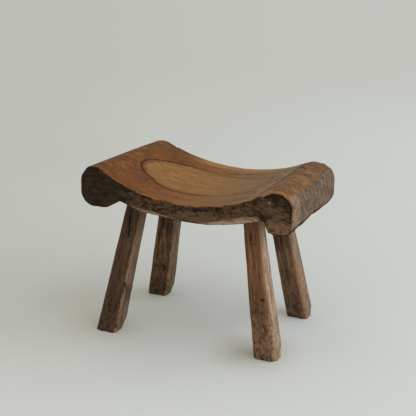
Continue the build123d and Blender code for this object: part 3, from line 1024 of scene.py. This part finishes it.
def dirty_wood(g, wood):
    """Dirt in the hollows of the rough faces, thin over the top, and rubbed off the arrises."""
    soiled = g.shifted(g.soil, (g.strata, 2.2), (g.lump, 1.8))
    spoke = g.noise(g.mark("spokes", "Vector"), (300, 300, 300), 3, 0.6)
    spoke = g.times(g.math("SUBTRACT", spoke, 0.5), g.mark("face"))
    soiled = g.blend((soiled, 1), (spoke, 0.9), (g.mark("under_rim"), 1.2))
    dark = g.step(g.blend((g.strata, 0.5), (g.mottle, 0.5)), 0.42, 0.6)
    dirt = g.mix(dark, (0.009, 0.006, 0.004), (0.094, 0.056, 0.032))
    dirt = g.tint(dirt, (0.0135, 0.0112, 0.0088), g.soil, 0.92, 1.15, 0.75)
    bare = g.mix(g.step(g.layers, 0.43, 0.58), (0.12, 0.068, 0.038), (0.26, 0.16, 0.098))
    rough = g.times(g.step(g.soil, 0.15, 0.5), g.step(g.mark("pale"), 0.3, 0.8, 1, 0))
    wood = g.mix(rough, wood, bare)
    wood = g.tint(wood, dirt, soiled, 0.38, 0.72, 0.96)
    rubbed = g.shifted(g.mark("worn"), (g.lump, 1.6), (g.mottle, 1.4))
    return g.tint(wood, (0.33, 0.122, 0.036), rubbed, 0.5, 0.9, 0.85)


def lined_wood(g, wood):
    """The dark growth ring round the dish, painted shade along the crease beside the right roll with a
    painted highlight on the ledge beside it, and the cracks.
    """
    off = g.math("ABSOLUTE", g.math("SUBTRACT", g.ring, 1))
    wide = g.times(g.noise(g.grain, (20, 20, 20), 2, 0.55), 0.036)
    drawn = g.math("SUBTRACT", 1, g.math("DIVIDE", off, wide), True)
    fade = g.times(g.top, g.step(g.x, 0.06, 0.15, 0.95, 0.35))
    wood = g.mix(g.times(drawn, fade), wood, (0.018, 0.009, 0.005))
    crease = g.mark("crease")
    # A painted highlight on the ledge of the dish beside the crease
    ledge_highlight = g.times(g.step(crease, -18, -9), g.step(crease, -6, -2, 0.45, 0))
    ledge_highlight = g.times(ledge_highlight, g.step(g.streak, 0.4, 0.55))
    wood = g.mix(g.times(ledge_highlight, g.top), wood, (0.27, 0.2, 0.13))
    # Painted shade: a near-black line along the crease
    crease = g.times(g.step(g.math("ABSOLUTE", crease), 0.6, 2.6, 0.92, 0), g.top)
    wood = g.mix(g.times(crease, g.step(g.lump, 0.3, 0.6, 0.6, 1)), wood, (0.026, 0.017, 0.01))
    crack = g.step(g.shifted(g.mark("line"), (g.mottle, 1.6)), 0.4, 2, 0.92, 0)
    return g.mix(crack, wood, CRACK_COLOUR)


def seat_wood():
    g = Graph(bpy.data.materials.new("weathered_seat_wood"))
    seat_textures(g)
    wood = dish_wood(g)
    for layer in (left_roll_wood, right_roll_wood, bleached_wood, dirty_wood, lined_wood):
        wood = layer(g, wood)
    dents = g.times(g.mottle, g.step(g.math("ADD", g.soil, g.end), 0.1, 0.7))
    height = g.blend((g.fibre, 0.3), (g.streak, 0.6), (g.fine, 0.25), (dents, 2.4))
    rough = g.step(g.math("ADD", g.soil, g.mark("grey")), 0, 0.8, 0.55, 0.85)
    return g.finish(wood, g.shifted(rough, (g.streak, 0.25)), height, BUMP_DEPTH)


def leg_wood(name, deep, mid, light, pale_deep, pale_light, dulled, soil_share):
    """The hewn wood of one leg, in its own colours."""
    g = Graph(bpy.data.materials.new("weathered_" + name))
    g.textures(
        g.mark("grain", "Vector"),
        streak=(9, 130, 130, 5, 0.7),
        fine=(20, 300, 300, 3, 0.65),
        broad=(12, 50, 50, 4, 0.6),
        fibre=(30, 900, 900, 2, 0.55),
        mottle=(110, 190, 190, 5, 0.7),
        lump=(40, 75, 75),
        specks=(110, 260, 260, 2, 0.55),
    )
    side = g.mark("pale")
    tone = g.blend((g.streak, 0.35), (g.fine, 0.25), (g.broad, 0.25), (g.mottle, 0.15))
    wood = g.mix(g.step(tone, 0.42, 0.5), deep, mid)
    wood = g.tint(wood, light, tone, 0.5, 0.58)
    pale = g.mix(g.step(tone, 0.42, 0.58), pale_deep, pale_light)
    wood = g.tint(wood, pale, g.shifted(side, (g.lump, 1)), 0.35, 0.7)
    dull = [[value * share for value in dulled] for share in (0.28, 1.34)]
    dull = g.mix(g.step(g.mottle, 0.4, 0.6), *dull)
    wood = g.mix(g.times(g.mark("low"), g.step(side, 0.2, 0.7, 0.75, 0.35)), wood, dull)
    # Bare golden wood between the fibres, then dirt in the hollows and on the rough patches
    shown = g.blend((g.mark("streak"), 0.16), (g.fine, 0.45), (g.streak, 0.35), (g.mottle, 0.2))
    wood = g.tint(wood, (0.265, 0.148, 0.07), shown, 0.575, 0.65, 0.62)
    soiled = g.blend((g.mark("soil"), 1), (g.mark("patch"), 0.75))
    soiled = g.shifted(soiled, (g.mottle, 2.6), (g.lump, 1.1))
    covered = g.step(side, 0.3, 0.8, soil_share, soil_share * 0.7)
    dirt = g.mix(g.step(g.mottle, 0.4, 0.62), (0.009, 0.006, 0.005), (0.055, 0.034, 0.021))
    wood = g.mix(g.times(g.step(soiled, 0.5, 0.85), covered), wood, dirt)
    wood = g.tint(wood, (0.02, 0.013, 0.009), g.specks, 0.65, 0.72, 0.6)
    rubbed = g.shifted(g.mark("worn"), (g.lump, 1.8), (g.mottle, 1.2))
    wood = g.tint(wood, (0.31, 0.16, 0.075), rubbed, 0.62, 0.9, 0.8)
    crack = g.step(g.shifted(g.mark("line"), (g.mottle, 3.4)), 0.6, 2.4, 0.9, 0)
    wood = g.mix(crack, wood, CRACK_COLOUR)
    height = g.blend((g.fibre, 0.3), (g.streak, 1), (g.fine, 0.3), (g.mottle, 0.9))
    return g.finish(wood, g.step(g.streak, 0.3, 0.7, 0.62, 0.82), height, BUMP_DEPTH)


def wedge_wood():
    g = Graph(bpy.data.materials.new("split_wedge_wood"))
    place = g.node("TexCoord").outputs["Object"]
    g.textures(place, streak=(200, 200, 12, 4, 0.55), fibre=(900, 900, 60, 2, 0.55))
    wood = g.mix(g.streak, (0.2, 0.12, 0.06), (0.36, 0.23, 0.12))
    return g.finish(wood, g.step(g.fibre, 0.2, 0.8, 0.6, 0.8), g.fibre, BUMP_DEPTH / 3)


def floor_paint():
    """Pale grey paper with painted light: a little darker and warmer to the left, away from the window, and
    lighter near the camera; it glows a little for the camera, so its shadows look faint to the camera.
    """
    g = Graph(bpy.data.materials.new("backdrop_paper"))
    place = g.node("TexCoord").outputs["Object"]
    x, y, _ = g.node("SeparateXYZ", {0: place}).outputs
    # Painted light: the paper is darker and warmer to the left, away from the window
    across = g.blend((x, 0.919), (y, 0.395))
    depth = g.blend((y, 0.919), (x, -0.395))
    spread = g.math("ADD", g.times(g.math("MAXIMUM", depth, 0), 0.65), 1)
    shift = g.math("DIVIDE", across, spread)
    colour = g.mix(g.step(shift, -0.9, 0.7), (0.442, 0.452, 0.427), (0.622, 0.648, 0.668))
    cloud = g.noise(place, (1.2, 1.2, 1.2), 2, 0.55)
    colour = g.tint(colour, (0.57, 0.584, 0.57), cloud, 0.3, 0.7, 0.3)
    # Painted light: the paper is lighter near the camera
    colour = g.mix(g.step(depth, -0.5, 0.3, 0.52, 0), colour, (0.69, 0.712, 0.722))
    colour = g.tint(colour, (0.48, 0.49, 0.467), depth, 0.6, 4, 0.5)
    # Painted shadows beside the feet, a little to the left of each, away from the window
    for leg, strength in zip(LEGS.values(), (0.22, 0.12, 0.46, 0.04)):
        shadow_spot = (leg["foot"][0] * MILLIMETRE - 0.03, leg["foot"][1] * MILLIMETRE, 0)
        away = g.node("VectorMath", {0: place, 1: shadow_spot}, operation="DISTANCE").outputs["Value"]
        colour = g.mix(g.step(away, 0.01, 0.11, strength, 0), colour, (0.38, 0.352, 0.262))
    paper = g.shade(colour, 0.9, 0.1).outputs[0]
    warm = g.mix(1, colour, (1, 0.985, 0.915), "MULTIPLY")
    glow = g.node("Emission", {"Color": warm, "Strength": 1}).outputs[0]
    both = g.node("MixShader", {0: g.times(g.seen(), 0.25), 1: paper, 2: glow}).outputs[0]
    g.link(both, g.tree.nodes["Material Output"].inputs["Surface"])
    return g.owner


def camera():
    lens = bpy.data.cameras.new("camera")
    lens.sensor_width = SENSOR_WIDTH
    lens.lens = FOCAL_LENGTH
    lens.clip_end = 100
    eye = add_object("camera", lens)
    eye.location = CAMERA_PLACE
    eye.rotation_euler = (math.radians(90 - CAMERA_PITCH), 0, math.radians(CAMERA_YAW))
    bpy.context.scene.camera = eye


def light():
    """A wide window to the right, and a warm room that is brighter near the floor than overhead."""
    sun = bpy.data.lights.new("window", "SUN")
    sun.energy = SUN_STRENGTH
    sun.angle = math.radians(SUN_SPREAD)
    sun.color = (0.92, 1.01, 1.2)
    lamp = add_object("window", sun)
    lamp.rotation_euler = (math.radians(90 - SUN_ELEVATION), 0, math.radians(90 + SUN_AZIMUTH))
    world = bpy.data.worlds.new("room")
    g = Graph(world)
    height = g.node("SeparateXYZ", {0: g.node("TexCoord").outputs["Generated"]}).outputs["Z"]
    fade = {"Value": height, "To Min": SKY_STRENGTH * 1.47, "To Max": SKY_STRENGTH * 0.86}
    strength = g.node("MapRange", fade).outputs[0]
    sky = g.node("Background", {"Color": (1, 0.95, 0.815), "Strength": strength}).outputs[0]
    wall = g.node("Background", {"Color": (0.53, 0.54, 0.51), "Strength": 1}).outputs[0]
    both = g.node("MixShader", {0: g.seen(), 1: sky, 2: wall}).outputs[0]
    g.link(both, g.tree.nodes["World Output"].inputs["Surface"])
    bpy.context.scene.world = world
    bpy.context.scene.view_settings.view_transform = "Standard"


def floor():
    sides = 96
    turns = [2 * math.pi * n / sides for n in range(sides)]
    rim = [(FLOOR_RADIUS * math.cos(turn), FLOOR_RADIUS * math.sin(turn), 0) for turn in turns]
    piece = mesh_object("floor", rim, [list(range(sides))])
    piece.data.materials.append(floor_paint())


# Colours of each leg: its grain from dark to light, its bleached sides, its lower part, and how much
# dirt covers it
LEG_PAINT = {
    # The front left leg's pale side colours are partly painted light: lighter to lift the seat's shadow from
    # the top of its right side
    "leg_front_left": (
        (0.022, 0.013, 0.009), (0.078, 0.044, 0.027), (0.125, 0.072, 0.044),
        (0.128, 0.084, 0.056), (0.29, 0.193, 0.124), (0.085, 0.052, 0.034), 0.72,
    ),
    "leg_rear_left": (
        (0.034, 0.02, 0.011), (0.125, 0.07, 0.036), (0.215, 0.124, 0.06),
        (0.075, 0.05, 0.031), (0.235, 0.16, 0.1), (0.14, 0.085, 0.048), 0.62,
    ),
    "leg_front_right": (
        (0.078, 0.037, 0.019), (0.176, 0.083, 0.042), (0.24, 0.121, 0.064),
        (0.195, 0.124, 0.078), (0.5, 0.352, 0.245), (0.24, 0.145, 0.086), 0.45,
    ),
    "leg_rear_right": (
        (0.07, 0.041, 0.024), (0.18, 0.102, 0.059), (0.285, 0.175, 0.108),
        (0.125, 0.083, 0.055), (0.335, 0.232, 0.155), (0.215, 0.134, 0.082), 0.56,
    ),
}


camera()
light()
floor()
build_seat(seat_wood())
for leg_name, paint in LEG_PAINT.items():
    build_leg(leg_name, leg_wood(leg_name, *paint))
wedge_material = wedge_wood()
for node_name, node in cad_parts.items():
    if node_name.startswith("wedge"):
        node.data.materials.clear()
        node.data.materials.append(wedge_material)
